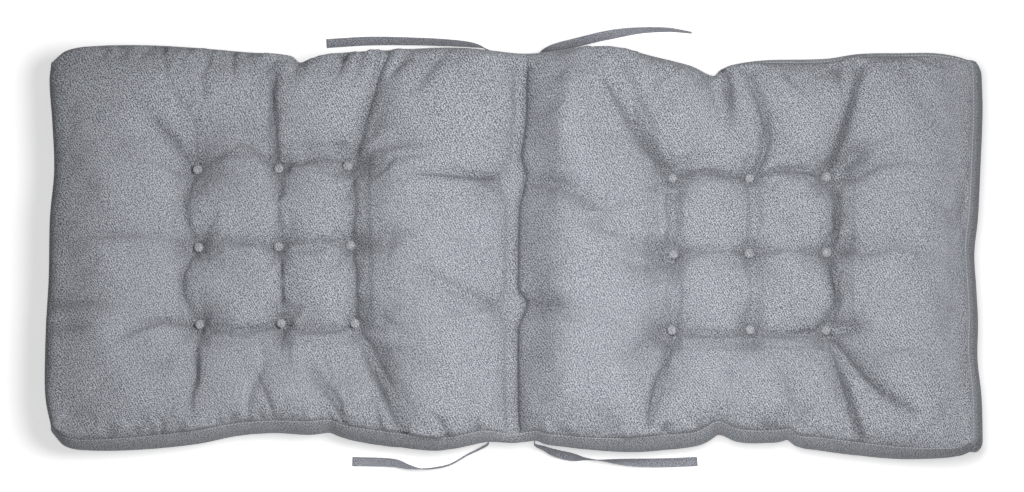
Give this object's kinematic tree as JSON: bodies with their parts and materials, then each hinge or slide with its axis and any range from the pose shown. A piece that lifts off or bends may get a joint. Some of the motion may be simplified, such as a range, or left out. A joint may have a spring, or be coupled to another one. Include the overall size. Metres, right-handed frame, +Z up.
{
  "type": "sun lounger cushion",
  "caption": "Long button-tufted sun lounger cushion, hinged across its middle, with a boxed side band and fabric ties.",
  "frame": {"origin": "middle of the whole cushion in plan, on the surface it lies on", "axes": "+X along the length, +Y away from the near long edge, +Z up out of the tufted face"},
  "size_m": [1.2082, 0.5878, 0.0933],
  "materials": {
    "cover": "grey-blue melange twill, matt, plain-sewn seams with a stitch line along them",
    "button": "small round tuft buttons covered in paler grey fabric",
    "tie": "flat folded tape of the cover's fabric, stitched along both edges"
  },
  "bodies": {
    "root": {"pad": "cover", "button_left_1_1": "button", "button_left_1_2": "button", "button_left_1_3": "button", "button_left_2_1": "button", "button_left_2_2": "button", "button_left_2_3": "button", "button_left_3_1": "button", "button_left_3_2": "button", "button_left_3_3": "button", "button_right_1_1": "button", "button_right_1_2": "button", "button_right_1_3": "button", "button_right_2_1": "button", "button_right_2_2": "button", "button_right_2_3": "button", "button_right_3_1": "button", "button_right_3_2": "button", "button_right_3_3": "button", "tie_far_left": "tie", "tie_far_right": "tie", "tie_near_left": "tie", "tie_near_right": "tie"}
  },
  "joints": []
}
